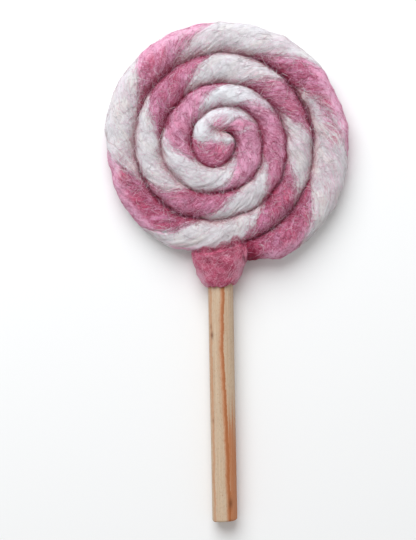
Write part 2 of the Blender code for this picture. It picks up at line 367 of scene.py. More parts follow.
    def relief(self, at, angle, point):
        """How far the felt stands out from the plain section."""
        phase = angle - self.twist_phase(at)
        relief = LUMP * self.lumps(point) + RIDGE * self.ridges(at, phase)
        relief += SMALL_RIDGE * self.small_ridges(at, phase) - self.valley(at, angle)
        return relief

    def skin(self, at, angle, lift=0.0):
        """Points of the skin, or above it by lift, and its outward normals."""
        at = np.asarray(at, float)
        middle, spoke, half_width, half_height = self.section(at)
        cos, sin = np.cos(angle), np.sin(angle)
        power = 2 / SQUARENESS
        across = -signed_power(cos, power)
        rise = signed_power(sin, power)
        touch = self.touch(at, cos)
        rise = np.where(sin > 0, rise + touch * (filled(rise, self.fill(at, cos)) - rise), rise)
        normal_out = signed_power(across, SQUARENESS - 1) / half_width
        normal_up = signed_power(rise, SQUARENESS - 1) / half_height
        size = np.hypot(normal_out, normal_up)
        normal = np.concatenate([spoke * (normal_out / size)[..., None], (normal_up / size)[..., None]], -1)
        height = ROPE_HEIGHT / 2 - PRESSED_FLAT + half_height * rise
        point = np.concatenate([middle + spoke * (half_width * across)[..., None], height[..., None]], -1)

        free = 1 - touch * (1 - smooth_step(0.1, 0.75, np.abs(sin)))
        point = point + normal * (self.relief(at, angle, point) * free + lift)[..., None]
        point[..., 2] = np.maximum(point[..., 2], 0.0)
        return point, normal


# How finely the strands are cut: rings along the rope, and points across each strand's skin.
RING_STEP = 0.5
PINK_SKIN_POINTS = 34
WHITE_SKIN_POINTS = 40


def new_object(name, data):
    obj = bpy.data.objects.new(name, data)
    bpy.context.scene.collection.objects.link(obj)
    return obj


def make_mesh(name, points, faces, smooth=True):
    """A mesh object from points in mm and a face array or list, smooth shaded."""
    mesh = bpy.data.meshes.new(name)
    faces = np.asarray(faces)
    points = np.asarray(points) * MM
    mesh.vertices.add(len(points))
    mesh.vertices.foreach_set("co", points.astype(np.float32).ravel())
    count = faces.shape[1]
    mesh.loops.add(faces.size)
    mesh.loops.foreach_set("vertex_index", faces.astype(np.int32).ravel())
    mesh.polygons.add(len(faces))
    mesh.polygons.foreach_set("loop_start", np.arange(0, faces.size, count, dtype=np.int32))
    mesh.update(calc_edges=True)
    if smooth:
        mesh.shade_smooth()
    return new_object(name, mesh)


def add_attribute(obj, name, values):
    values = np.asarray(values, np.float32)
    kind = "FLOAT" if values.ndim == 1 else "FLOAT_VECTOR"
    attribute = obj.data.attributes.new(name, kind, "POINT")
    attribute.data.foreach_set("value" if kind == "FLOAT" else "vector", values.ravel())


def ring_faces(rings, around):
    """Triangles of a closed tube: rings of points, with a fan at each end round the first of its points."""
    i, j = np.meshgrid(np.arange(rings - 1), np.arange(around), indexing="ij")
    k = (j + 1) % around
    a, b, c, d = i * around + j, i * around + k, (i + 1) * around + k, (i + 1) * around + j
    fan = np.arange(1, around - 1)
    last = (rings - 1) * around
    return np.concatenate([
        np.stack([a, d, b], -1).reshape(-1, 3),
        np.stack([b, d, c], -1).reshape(-1, 3),
        np.stack([np.zeros_like(fan), fan, fan + 1], -1),
        np.stack([np.full_like(fan, last), last + fan + 1, last + fan], -1),
    ])


def make_strand(rope, name, edges, across):
    """One strand: its skin, and the two walls that run in to the rope's middle."""
    at = np.linspace(0.0, rope.length, round(rope.length / RING_STEP))
    first, last = (rope.edges(at)[k][:, None] for k in edges)
    angle = first + (last - first) * np.linspace(0.0, 1.0, across)
    skin, _ = rope.skin(np.broadcast_to(at[:, None], angle.shape), angle)

    middle = rope.section(at)[0]
    core = np.concatenate([middle, np.full((len(at), 1), ROPE_HEIGHT / 2 - PRESSED_FLAT)], 1)[:, None]
    first_wall = core + (skin[:, :1] - core) * np.array([0.0, 0.5])[:, None]
    last_wall = core + (skin[:, -1:] - core) * 0.5
    points = np.concatenate([first_wall, skin, last_wall], 1)
    angle = np.concatenate([angle[:, :1], angle[:, :1], angle, angle[:, -1:]], 1)
    lengths = np.broadcast_to(at[:, None], angle.shape)

    obj = make_mesh(name, points.reshape(-1, 3), ring_faces(len(at), points.shape[1]))
    add_wool_attributes(obj, rope, lengths.ravel(), angle.ravel())
    return obj


def add_wool_attributes(obj, rope, at, angle):
    """wool: place on the rope with its twist undone. ply: distance into the pink, below zero in white."""
    phase = angle - rope.twist_phase(at)
    radius = ROPE_HEIGHT / 2
    add_attribute(obj, "wool", np.stack([radius * np.cos(phase), radius * np.sin(phase), at], 1))
    pink_from, pink_to, _ = rope.edges(at)
    past_start = (angle - pink_from) % TURN
    pink_width = pink_to - pink_from
    inside = np.minimum(past_start, pink_width - past_start)
    outside = np.minimum(past_start - pink_width, TURN - past_start)
    add_attribute(obj, "ply", np.where(past_start < pink_width, inside, -outside) * radius)
    add_attribute(obj, "veil", veil_at(at, angle))
    # Painted shade in the seams.
    add_attribute(obj, "seam_shade", seam_shade_at(rope, at, angle))
    # Paleness, with painted light on the free rim.
    add_attribute(obj, "pink_pale_with_rim_light", pink_paleness_with_rim_light(rope, at, angle))
    add_attribute(obj, "white_pale_with_rim_light", white_paleness_with_rim_light(rope, at, angle))


# Stretches where wisps of the other colour lie over the rope: middle and half length, middle and half
# width in degrees round it, and strength.
VEILS = (
    (22, 3.6, 50, 42, 2.2),
    (31.5, 0.7, 85, 40, 1.2),
    (313.5, 6, 165, 30, 1.6),
    (66, 4, 90, 90, 0.1),
    (108, 5, 90, 90, 0.3),
    (172, 6, 90, 90, 0.3),
    (238, 8, 80, 50, 0.45),
    (262, 8, 90, 90, 0.25),
    (348, 7, 90, 90, 0.35),
    (372, 8, 90, 90, 0.25),
    (396, 7, 90, 90, 0.4),
    (425, 5, 90, 90, 0.3),
    (456, 9, 100, 36, 0.8),
    (474, 7, 110, 40, 0.4),
)

# How pale the pink and the white are: length along the rope, and paleness. The free rim is paler still, which
# is painted light.
PINK_PALENESS = (
    (0, 0.3), (12, 0.4), (24, 1.0), (34, 1.6), (105, 1.3), (135, 0.5), (165, 0.3), (200, 0.45), (250, 0.3),
    (330, -0.1), (366, 0.05), (376, 0.3), (396, 0.35), (408, 0.2), (440, 0.0), (509, 0.2),
)
WHITE_PALENESS = (
    (0, 1.3), (35, 1.2), (50, 0.4), (66, 0.4), (82, 1.4), (104, 1.4), (120, 0.4), (170, 0.1), (205, 0.5),
    (235, 0.5), (260, 0.1), (290, -0.1), (380, 0.0), (509, -0.2),
)
# How much paler the free rim is made: painted light.
PINK_RIM_LIGHT = 1.9
WHITE_RIM_LIGHT = 0.5

# The painted shade in the seams: between which cosines of the angle round the rope it sets in on its inner
# and on its outer side, how much a cleft adds there, how much is left on the free rim, and how strong it is
# at the end.
INNER_SHADE = (0.42, 0.99)
OUTER_SHADE = (0.7, 0.98)
CLEFT_SHADE = (0.5, 0.3)
RIM_SHADE = 0.15
END_SHADE = 1.3


def near_rim(rope, at, angle):
    """1 on the outer side of the coil's last turn, 0 elsewhere."""
    return smooth_step(0.1, 0.75, -np.cos(angle)) * smooth_step(rope.last_turn - 6, rope.last_turn + 6, at)


# Paleness along the rope, and painted light on the free rim.
def pink_paleness_with_rim_light(rope, at, angle):
    return table_at(PINK_PALENESS, at) + PINK_RIM_LIGHT * near_rim(rope, at, angle)


def white_paleness_with_rim_light(rope, at, angle):
    return table_at(WHITE_PALENESS, at) + WHITE_RIM_LIGHT * near_rim(rope, at, angle)


def veil_at(at, angle):
    """How thick wisps of the other colour lie here, on the rope's upper side alone."""
    total = np.zeros(len(at))
    for middle, half, angle_middle, angle_half, strength in VEILS:
        past = (np.degrees(angle) - angle_middle + 180) % 360 - 180
        total += strength * np.exp(-(((at - middle) / half) ** 2) - (past / angle_half) ** 2)
    return total * smooth_step(-0.2, 0.4, np.sin(angle))


def seam_shade_at(rope, at, angle):
    """Painted shade by how far down in a seam a place lies, from 0 on the crest to 1, or more in a cleft or
    at the end.
    """
    cos = np.cos(angle)
    depth = np.where(cos > 0, smooth_step(*INNER_SHADE, cos), smooth_step(*OUTER_SHADE, -cos))
    in_cleft = rope.cleft_at(at, cos) * np.where(cos > 0, *CLEFT_SHADE)
    depth = depth * (RIM_SHADE + (1 - RIM_SHADE) * rope.touch(at, cos) + in_cleft)
    return np.maximum(depth, END_SHADE * smooth_step(rope.length - 8.0, rope.length - 2.0, at))


class Nodes:
    """Small helper round one material's node tree."""

    def __init__(self, name):
        self.material = bpy.data.materials.new(name)
        self.material.use_nodes = True
        self.tree = self.material.node_tree
        self.shader = self.tree.nodes["Principled BSDF"]

    def new(self, kind, **settings):
        node = self.tree.nodes.new(kind)
        for key, value in settings.items():
            setattr(node, key, value)
        return node

    def put(self, node, values):
        """Values or other nodes' outputs go into a node's sockets, given by name or number."""
        for key, value in values.items():
            if isinstance(value, bpy.types.NodeSocket):
                self.tree.links.new(value, node.inputs[key])
            else:
                node.inputs[key].default_value = value

    def attribute(self, name, output="Fac"):
        return self.new("ShaderNodeAttribute", attribute_name=name).outputs[output]

    def math(self, operation, a, b=0.0, c=0.0, clamp=False):
        node = self.new("ShaderNodeMath", operation=operation, use_clamp=clamp)
        self.put(node, {0: a, 1: b, 2: c})
        return node.outputs[0]

    def swayed(self, value, noise, reach):
        """A value that a noise moves up and down."""
        return self.math("MULTIPLY_ADD", self.math("SUBTRACT", noise, 0.5), reach, value)

    def noise(self, place, scale, detail=2.0, roughness=0.5, distortion=0.0):
        """Noise over a place, with a scale for each of its three directions."""
        scaled = self.new("ShaderNodeVectorMath", operation="MULTIPLY")
        self.put(scaled, {0: place, 1: scale})
        node = self.new("ShaderNodeTexNoise")
        self.put(node, {"Vector": scaled.outputs[0], "Scale": 1.0, "Detail": detail})
        self.put(node, {"Roughness": roughness, "Distortion": distortion})
        return node.outputs["Fac"]

    def spread(self, value, low, high, to_low=0.0, to_high=1.0):
        """Maps low to high smoothly on to another range."""
        node = self.new("ShaderNodeMapRange", interpolation_type="SMOOTHSTEP")
        self.put(node, {"Value": value, "From Min": low, "From Max": high})
        self.put(node, {"To Min": to_low, "To Max": to_high})
        return node.outputs["Result"]

    def layers(self, colour, *layers):
        """Tones laid over a colour one after another, each with its share."""
        for share, tone in layers:
            node = self.new("ShaderNodeMix", data_type="RGBA")
            below, above = (number for number, socket in enumerate(node.inputs) if socket.type == "RGBA")
            self.put(node, {"Factor": share, below: colour, above: tone})
            colour = next(socket for socket in node.outputs if socket.type == "RGBA")
        return colour

    def bump(self, height, distance_mm, strength):
        node = self.new("ShaderNodeBump")
        self.put(node, {"Height": height, "Distance": distance_mm * MM, "Strength": strength})
        self.put(self.shader, {"Normal": node.outputs["Normal"]})

    def finish(self, colour, roughness, specular, sheen=0.0):
        """The material, with its colour and its even values on the shader's own sockets."""
        self.put(self.shader, {"Base Color": colour, "Roughness": roughness})
        self.put(self.shader, {"Specular IOR Level": specular, "Sheen Weight": sheen})
        return self.material


def srgb(red, green, blue):
    """A colour given as 0 to 255 screen values."""
    linear = [((c / 255 + 0.055) / 1.055) ** 2.4 for c in (red, green, blue)]
    return (*linear, 1.0)


# Wool tones, dark to light, with tones of painted shade for the seams, the clefts and the gaps between
# fibres.
PINK_TONES = (srgb(146, 48, 82), srgb(188, 98, 132), srgb(226, 168, 198))
# Painted shade for the seams.
PINK_SEAM_SHADE = srgb(164, 46, 82)
PINK_WARM = srgb(192, 66, 104)
# Painted shade between fibres.
PINK_GAP_SHADE = srgb(128, 34, 66)
# Painted shade for the deepest seams, the clefts and the rope's end.
PINK_HOLLOW_SHADE = srgb(112, 26, 50)
PINK_LILAC = srgb(218, 150, 188)
PINK_PALE = srgb(226, 164, 194)
WHITE_TONES = (srgb(195, 190, 191), srgb(207, 203, 206), srgb(224, 226, 230))
# Painted shade for the seams.
WHITE_SEAM_SHADE = srgb(194, 154, 158)
WHITE_WARM = srgb(230, 227, 219)
# Painted shade between fibres.
WHITE_GAP_SHADE = srgb(196, 186, 190)
COLLAR_TONES = (srgb(172, 60, 92), srgb(216, 108, 140), srgb(236, 164, 188))
WOOL_ROUGHNESS = 0.95
WOOL_SHEEN = 0.15
WOOL_SPECULAR = 0.15


def pinkness(nodes, wool, streaks, fine):
    """Share of pink: ragged along a strand's border, and turned over by wisps and by stray flecks."""
    ragged = nodes.swayed(nodes.swayed(nodes.attribute("ply"), streaks, 5.0), fine, 2.8)
    own = nodes.spread(ragged, -1.0, 1.0, 0.02, 0.97)

    veil = nodes.attribute("veil")
    wisps = nodes.noise(wool, (2.0, 2.0, 0.32), detail=3.0, roughness=0.65, distortion=0.5)
    wisps = nodes.spread(nodes.math("MULTIPLY_ADD", veil, 0.06, wisps), 0.44, 0.58)
    flecks = nodes.noise(wool, (3.4, 3.4, 0.9), detail=2.0, roughness=0.6)
    stray = nodes.math("MULTIPLY_ADD", nodes.attribute("white_pale_with_rim_light"), -0.24, 0.3, clamp=True)
    turned_over = nodes.math(
        "MULTIPLY_ADD", nodes.spread(flecks, 0.54, 0.72), stray, nodes.math("MULTIPLY", veil, wisps),
    )
    change = nodes.math("SUBTRACT", nodes.math("SUBTRACT", 1.0, own), own)
    return nodes.math("MULTIPLY_ADD", change, turned_over, own)


def wool_colours(nodes, wool, streaks, fine):
    """Pink and white felt: streaky tones, patches, and painted shade in the gaps between fibres and in the
    seams.
    """
    # Where painted shade falls in the gaps between fibres.
    gaps = nodes.noise(wool, (2.4, 2.4, 1.3), detail=2.0, roughness=0.6, distortion=0.8)
    broad = nodes.noise(wool, (0.3, 0.3, 0.14), detail=2.0)
    patches = nodes.noise(wool, (0.24, 0.24, 0.16), detail=3.0, roughness=0.6, distortion=0.4)
    tone = nodes.math("MULTIPLY_ADD", fine, 0.75, nodes.math("MULTIPLY", streaks, 0.25))
    # Paleness, with painted light on the free rim.
    pink_tone = nodes.math("MULTIPLY_ADD", nodes.attribute("pink_pale_with_rim_light"), 0.11, tone)
    pink_pale_with_rim_light = nodes.swayed(nodes.attribute("pink_pale_with_rim_light"), broad, 1.6)
    white_pale_with_rim_light = nodes.swayed(nodes.attribute("white_pale_with_rim_light"), broad, 1.6)
    # Painted shade in the seams, darkest in the clefts and beside the rope's end.
    seam_shade = nodes.attribute("seam_shade")
    hollow_shade = nodes.spread(seam_shade, 0.88, 1.2, 0.0, 0.8)

    pink = nodes.layers(
        PINK_TONES[0],
        (nodes.spread(pink_tone, 0.42, 0.58), PINK_TONES[1]),
        (nodes.spread(pink_tone, 0.54, 0.70), PINK_TONES[2]),
        (nodes.spread(patches, 0.52, 0.66, 0.0, 0.6), PINK_WARM),
        (nodes.spread(patches, 0.36, 0.48, 0.55, 0.0), PINK_LILAC),
        # Pale stretches, and painted light on the free rim.
        (nodes.math("MULTIPLY", pink_pale_with_rim_light, 0.36, clamp=True), PINK_PALE),
        # Painted shade in the gaps between fibres.
        (nodes.spread(gaps, 0.58, 0.70, 0.0, 0.6), PINK_GAP_SHADE),
        # Painted shade in the seams, then darker in the clefts.
        (nodes.math("MULTIPLY", seam_shade, 0.85), PINK_SEAM_SHADE),
        (hollow_shade, PINK_HOLLOW_SHADE),
    )
    white = nodes.layers(
        WHITE_TONES[0],
        (nodes.spread(tone, 0.34, 0.52), WHITE_TONES[1]),
        (nodes.spread(tone, 0.50, 0.68), WHITE_TONES[2]),
        (nodes.spread(patches, 0.46, 0.62, 0.0, 0.4), WHITE_WARM),
        # Pale stretches, and painted light on the free rim.
        (nodes.math("MULTIPLY", white_pale_with_rim_light, 0.7, clamp=True), WHITE_TONES[2]),
        # Painted shade in the gaps between fibres.
        (nodes.spread(gaps, 0.60, 0.72, 0.0, 0.35), WHITE_GAP_SHADE),
        # Painted shade in the seams, then darker in the clefts.
        (nodes.math("MULTIPLY", seam_shade, 0.6), WHITE_SEAM_SHADE),
        (hollow_shade, PINK_HOLLOW_SHADE),
    )
    return pink, white


def rope_material(name, bump_strength):
    """Two-tone felted wool: pink and white streaks that change over along a ragged line."""
    nodes = Nodes(name)
    wool = nodes.attribute("wool", "Vector")
    streaks = nodes.noise(wool, (1.3, 1.3, 0.28), detail=4.0, roughness=0.65, distortion=0.5)
    fine = nodes.noise(wool, (1.7, 1.7, 1.25), detail=4.0, roughness=0.8, distortion=1.2)
    pink, white = wool_colours(nodes, wool, streaks, fine)
    colour = nodes.layers(white, (pinkness(nodes, wool, streaks, fine), pink))
    relief = nodes.math("MULTIPLY_ADD", fine, 0.9, nodes.math("MULTIPLY", streaks, 0.3))
    nodes.bump(relief, 0.15, bump_strength)
    return nodes.finish(colour, WOOL_ROUGHNESS, WOOL_SPECULAR, WOOL_SHEEN)


def make_rope(rope):
    for name, node, slot, edges, skin_points, bump_strength in (
        ("pink_wool_strand", "pink_strand", "pink_wool", PINK_EDGES, PINK_SKIN_POINTS, 0.4),
        ("white_wool_strand", "white_strand", "white_wool", WHITE_EDGES, WHITE_SKIN_POINTS, 0.25),
    ):
        strand = make_strand(rope, name, edges, skin_points)
        strand.data.materials.append(rope_material(name, bump_strength))
        place(strand, slot, node)


def place(piece, slot, *nodes):
    """The piece rides on the toy's one body and stands for these nodes. The slot is not used."""
    piece.location = pole_place()
    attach(piece, "root")
    if nodes:
        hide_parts(*nodes)


def stick_rings(sides, ways_and_radii):
    """Rings of points round the stick, each a way down from its top and a radius."""
    top, foot = np.array(STICK_TOP), np.array(STICK_FOOT)
    axis = unit(foot - top)
    side = unit(np.cross(axis, [0.0, 0.0, 1.0]))
    up = np.cross(side, axis)
    turns = TURN * np.arange(sides) / sides
    around = np.cos(turns)[:, None] * side + np.sin(turns)[:, None] * up
    ways, radii = np.array(ways_and_radii).T
    return top + axis * ways[:, None, None] + around * radii[:, None, None], turns


def stick_outline(steps_per_edge, steps_along, hidden=0.0):
    """Ways down from the stick's top and radii, with both edges rounded. The hidden part is left off."""
    length = np.linalg.norm(np.subtract(STICK_FOOT, STICK_TOP))
    bend = np.linspace(0, math.pi / 2, steps_per_edge)
    edge = np.stack([
        STICK_EDGE * (1 - np.cos(bend)),
        STICK_RADIUS - STICK_EDGE * (1 - np.sin(bend)),
    ], 1)
    between = np.linspace(STICK_EDGE + hidden, length - STICK_EDGE, steps_along)[1:-1]
    body = np.stack([between, np.full(len(between), STICK_RADIUS)], 1)
    foot = np.stack([length - edge[::-1, 0], edge[::-1, 1]], 1)
    return np.concatenate([edge + [hidden, 0.0], body, foot])


@functools.cache
def pole_place():
    """Where the coil's pole is in the frame, found by laying this stick over the stick of the solids."""
    rings, _ = stick_rings(32, stick_outline(4, 2))
    low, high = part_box("stick")
    mine = (rings.reshape(-1, 3).max(0) + rings.reshape(-1, 3).min(0)) / 2
    return (low.x + high.x) / 2 - mine[0] * MM, (low.y + high.y) / 2 - mine[1] * MM, 0.0


WOOD_TONES = (srgb(192, 164, 136), srgb(212, 190, 164), srgb(188, 148, 116))
MOTTLE_TONE = srgb(176, 158, 140)
VEIN_TONE = srgb(154, 88, 46)
KNOT_TONE = srgb(104, 60, 34)
STREAK_TONE = srgb(186, 111, 64)
# Lines along the wood, soft on the left and sharp on the right: attribute, reach, tone and strength.
WOOD_LINES = (
    ("vein", 1.7, STREAK_TONE, 0.8), ("vein", 0.9, VEIN_TONE, 0.55), ("streak", 0.8, STREAK_TONE, 0.45),
)


def wood_material(name):
    """Bare wood: grain, an orange-brown vein, a fainter streak, knots, and a stained lower right side."""
    nodes = Nodes(name)
    grain = nodes.attribute("grain", "Vector")
    fibres = nodes.noise(grain, (2.2, 2.2, 0.05), detail=3.0, roughness=0.6, distortion=0.3)
    broad = nodes.noise(grain, (0.5, 0.5, 0.03), detail=2.0)
    mottle = nodes.noise(grain, (2.4, 2.4, 0.9), detail=4.0, roughness=0.7)
    pores = nodes.noise(grain, (7.0, 7.0, 1.2), detail=1.0)
    wander = nodes.noise(grain, (0.0, 0.0, 0.12), detail=3.0)
    stained = nodes.swayed(nodes.attribute("stain"), fibres, 2.2)
    colour = nodes.layers(
        WOOD_TONES[0],
        (nodes.spread(fibres, 0.3, 0.7, 0.2, 0.8), WOOD_TONES[1]),
        (nodes.spread(broad, 0.45, 0.7, 0.0, 0.4), WOOD_TONES[2]),
        (nodes.spread(mottle, 0.45, 0.75, 0.0, 0.55), MOTTLE_TONE),
        (nodes.spread(stained, 0.12, 0.95, 0.0, 0.85), STREAK_TONE),
    )
    for line, reach, tone, strength in WOOD_LINES:
        across = nodes.swayed(nodes.swayed(nodes.attribute(line), wander, 1.3), mottle, 1.0)
        left_side = nodes.spread(across, -reach, -0.3 * reach, 0.0, strength)
        share = nodes.math("MULTIPLY", left_side, nodes.spread(across, 0.0, 0.3, 1.0, 0.0))
        colour = nodes.layers(colour, (share, tone))
    colour = nodes.layers(
        colour,
        (nodes.attribute("knot"), KNOT_TONE),
        (nodes.spread(pores, 0.62, 0.74, 0.0, 0.6), VEIN_TONE),
    )
    nodes.bump(nodes.math("MULTIPLY_ADD", mottle, 0.6, fibres), 0.15, 0.5)
    return nodes.finish(colour, 0.7, 0.25)


STICK_SIDES = 96
STICK_STEPS = 170
STICK_HIDDEN = 2.0
FOOT_SLANT = 0.06
VEIN_ACROSS = ((0.0, 1.1), (8.6, 1.0), (17.6, 0.75), (27.6, 0.45), (42.6, 0.95), (67.6, 1.6), (83.6, 1.9))
STREAK_ACROSS = ((0.0, -3.2), (37.6, -3.1), (83.6, -2.9))
# Small knots: way down the stick, place across it, half length and strength.
KNOTS = ((24.2, -3.0, 1.1, 0.8), (21.5, -3.3, 0.8, 0.5), (51.5, -3.1, 0.8, 0.4), (78.0, 1.9, 1.6, 0.7))
FAR_FROM_LINE = 9.0
STICK_RELIEF = 0.03


def make_stick():
    outline = stick_outline(7, STICK_STEPS, STICK_HIDDEN)
    rings, turns = stick_rings(STICK_SIDES, outline)
    ways = np.repeat(outline[:, 0], STICK_SIDES)
    radii = np.repeat(outline[:, 1], STICK_SIDES)
    turned = np.tile(turns, len(outline))
    axis = unit(np.subtract(STICK_FOOT, STICK_TOP))
    centre = np.array(STICK_TOP) + axis * ways[:, None]
    points = rings.reshape(-1, 3)
    outward = unit(points - centre)
    waves = Strands(SEED + 5, 3, 26, 40.0, 300.0)
    points = points + outward * (STICK_RELIEF * waves(ways, turned))[:, None]
    points[:, 2] = np.maximum(points[:, 2], 0.0)
    points[:, 1] -= FOOT_SLANT * np.cos(turned) * radii * smooth_step(78.0, 83.6, ways)

    obj = make_mesh("wooden_stick", points, ring_faces(len(outline), STICK_SIDES))
    obj.data.set_sharp_from_angle(angle=math.radians(60))
    add_wood_attributes(obj, ways, -radii * np.cos(turned), radii * np.sin(turned))
    obj.data.materials.append(wood_material("stick_wood"))
    place(obj, "stick_wood", "stick")


def add_wood_attributes(obj, ways, across, rise):
    """grain: place in the wood. vein, streak: distance from a line on top. stain, knot: strength."""
    add_attribute(obj, "grain", np.stack([across, rise, ways], 1))
    for name, line in (("vein", VEIN_ACROSS), ("streak", STREAK_ACROSS)):
        add_attribute(obj, name, np.where(rise > 0, across - table_at(line, ways), FAR_FROM_LINE))
    right_of_vein = smooth_step(-1.2, 0.2, across - table_at(VEIN_ACROSS, ways))
    add_attribute(obj, "stain", right_of_vein * smooth_step(34.0, 64.0, ways))
    knots = np.zeros(len(ways))
    for way, place_across, half, strength in KNOTS:
        past = ((ways - way) / half) ** 2 + ((across - place_across) / (0.4 * half)) ** 2
        knots += strength * np.exp(-past) * (rise > 0)
    add_attribute(obj, "knot", knots)


COLLAR_RINGS = 80
COLLAR_SIDES = 116
WRAP_HEIGHT = 2.3
WRAP_DEPTH = 0.03
COLLAR_LUMP = 0.2
LIP_STRAY = 0.35
FOOT_STRAY = 0.2
FOOT_RISE = 0.9
COLLAR_THICKNESS = 0.5


def rope_top(x, y):
    """Height of the rope's plain skin over points of the plan, or below zero where there is none."""
    radius = np.hypot(x, y)
    angle = np.degrees(np.arctan2(y, -x)) % 360
    top = np.full(np.shape(radius), -1.0)
    for turn in range(4):
        at = angle + 360 * turn
        inner, outer = seam_radii(at)
        share = 2 * (radius - inner) / (outer - inner) - 1
        there = (np.abs(share) < 1) & (at > SEAM_START_DEG) & (at < ROPE_END_DEG)
        rise = ROPE_HEIGHT / 2 * filled((1 - np.minimum(np.abs(share), 1) ** SQUARENESS) ** (1 / SQUARENESS))
        top = np.where(there, ROPE_HEIGHT / 2 - PRESSED_FLAT + rise, top)
    return top


def collar_skin(share_up, turned, lift=0.0):
    """Points of the collar: a share of the way up it, and an angle round it from the right over the top."""
    heights, widths, depths = np.array(COLLAR_PROFILE).T
    power = 2 / COLLAR_SQUARENESS
    cos, sin = signed_power(np.cos(turned), power), signed_power(np.sin(turned), power)
    side = COLLAR_CENTRE_X + widths.max() / 2 * cos
    lip = table_at(COLLAR_LIP, side)
    lip = lip + LIP_STRAY * COLLAR_WAVES(np.stack([side, 0 * side, 9 * sin], -1))
    foot = COLLAR_FOOT_Y + FOOT_RISE * smooth_step(1.0, 7.0, side)
    foot = foot + FOOT_STRAY * COLLAR_WAVES(np.stack([side, 0 * side + 50, 9 * sin], -1))
    y = foot + share_up * (lip - foot)
    above = y - COLLAR_FOOT_Y
    half_width = through_knots(above, heights, widths) / 2
    half_depth = through_knots(above, heights, depths) / 2
    x = COLLAR_CENTRE_X + half_width * cos
    z = COLLAR_CENTRE_Z + half_depth * sin

    outward = unit(np.stack([cos / half_width, 0 * cos, sin / half_depth], -1))
    point = np.stack([x, y, z], -1)
    wraps = np.sin(TURN * (y + 0.10 * x + 0.8 * COLLAR_WAVES(point)) / WRAP_HEIGHT)
    relief = COLLAR_LUMP * COLLAR_LUMPS(point) + WRAP_DEPTH * wraps
    fade = smooth_step(0.0, 0.12, share_up)
    point = point + outward * (relief * fade + lift)[..., None]

    near_lip = smooth_step(0.72, 1.0, share_up)
    laid = rope_top(point[..., 0], point[..., 1]) + COLLAR_THICKNESS * (1 - near_lip) - 0.12 + lift
    over = (laid > 1) & (np.sin(turned) > 0)
    lowered = np.maximum(point[..., 2] + near_lip * (laid - point[..., 2]), laid)
    point[..., 2] = np.where(over, lowered, point[..., 2])
    point[..., 2] = np.maximum(point[..., 2], 0.0)
    return point, outward


def collar_material(name):
    """Felt wound round the stick, its fibres running round it, with painted light on its left and right
    sides.
    """
    nodes = Nodes(name)
    wound = nodes.attribute("wound", "Vector")
    streaks = nodes.noise(wound, (0.35, 1.5, 1.5), detail=4.0, roughness=0.65, distortion=0.5)
    fine = nodes.noise(wound, (1.9, 2.8, 2.8), detail=3.0, roughness=0.75, distortion=0.9)
    broad = nodes.noise(wound, (0.25, 0.35, 0.35), detail=2.0)
    tone = nodes.math("MULTIPLY_ADD", fine, 0.65, nodes.math("MULTIPLY", streaks, 0.35))
    colour = nodes.layers(
        COLLAR_TONES[0],
        (nodes.spread(tone, 0.36, 0.54), COLLAR_TONES[1]),
        (nodes.spread(tone, 0.52, 0.70), COLLAR_TONES[2]),
        (nodes.spread(broad, 0.42, 0.7, 0.0, 0.6), COLLAR_TONES[0]),
        # The collar's left and right sides made paler: painted light.
        (nodes.spread(nodes.attribute("side"), 0.6, 1.0, 0.0, 0.5), COLLAR_TONES[2]),
    )
    nodes.bump(nodes.math("MULTIPLY_ADD", fine, 0.8, nodes.math("MULTIPLY", streaks, 0.5)), 0.35, 0.6)
    return nodes.finish(colour, WOOL_ROUGHNESS, WOOL_SPECULAR, WOOL_SHEEN)


def drawn_in(ring, size, shift):
    """A ring of the collar, smaller round the collar's middle and moved up."""
    middle = np.array([COLLAR_CENTRE_X, COLLAR_CENTRE_Z])
    ring = ring.copy()
    ring[:, [0, 2]] = middle + (ring[:, [0, 2]] - middle) * size
    ring[:, 1] += shift
    return ring[None]


def make_collar():
    share, turned = np.meshgrid(
        np.linspace(0.0, 1.0, COLLAR_RINGS),
        TURN * np.arange(COLLAR_SIDES) / COLLAR_SIDES,
        indexing="ij",
    )
    skin, _ = collar_skin(share, turned)
    rolled = [drawn_in(skin[0], size, shift) for size, shift in ((0.78, 0.5), (0.90, 0.0))]
    inside = [drawn_in(skin[-1], size, shift) for size, shift in ((0.86, 0.1), (0.6, 0.0))]
    rings = np.concatenate([*rolled, skin, *inside])
    # The rings run up the collar, so their order is turned to make the faces point out.
    points = rings[:, ::-1].reshape(-1, 3)
    obj = make_mesh("felt_collar", points, ring_faces(len(rings), COLLAR_SIDES))
    around = np.arctan2(points[:, 2] - COLLAR_CENTRE_Z, points[:, 0] - COLLAR_CENTRE_X)
    wound = np.stack([points[:, 0], points[:, 1] + 0.12 * points[:, 0], 3.0 * np.sin(around)], 1)
    add_attribute(obj, "wound", wound)
    free = 1 - smooth_step(COLLAR_FOOT_Y + 4, COLLAR_FOOT_Y + 8, points[:, 1])
    # How far a place is out on the collar's left or right side, where light is painted on.
    add_attribute(obj, "side", np.abs(np.cos(around)) * free)
    obj.data.materials.append(collar_material("collar_felt"))
    place(obj, "collar_felt", "collar")


# Fibres. Each is a thin tapered thread of wool with three sides, on the felt or a little above it.
FIBRE_POINTS = 6
FIBRE_RADIUS = (0.026, 0.062)
SKIN_WIDTH = 15.0
OVERSHOOT = 0.10
LYING_LIFT = 0.18
LOWEST_FUZZ = 0.05
HIGHEST_FUZZ = 10.2
FUZZ_OVER_HIGHEST = 0.3
ALMOST_A_TURN = 6.28

# How threads follow the felt's paleness and its painted rim light, the paleness of the middle tones, and the
# painted light that the collar's sides add.
FIBRE_PALENESS = 0.9
MIDDLE_PALENESS = 0.3
COLLAR_SIDE_LIGHT = 2.2

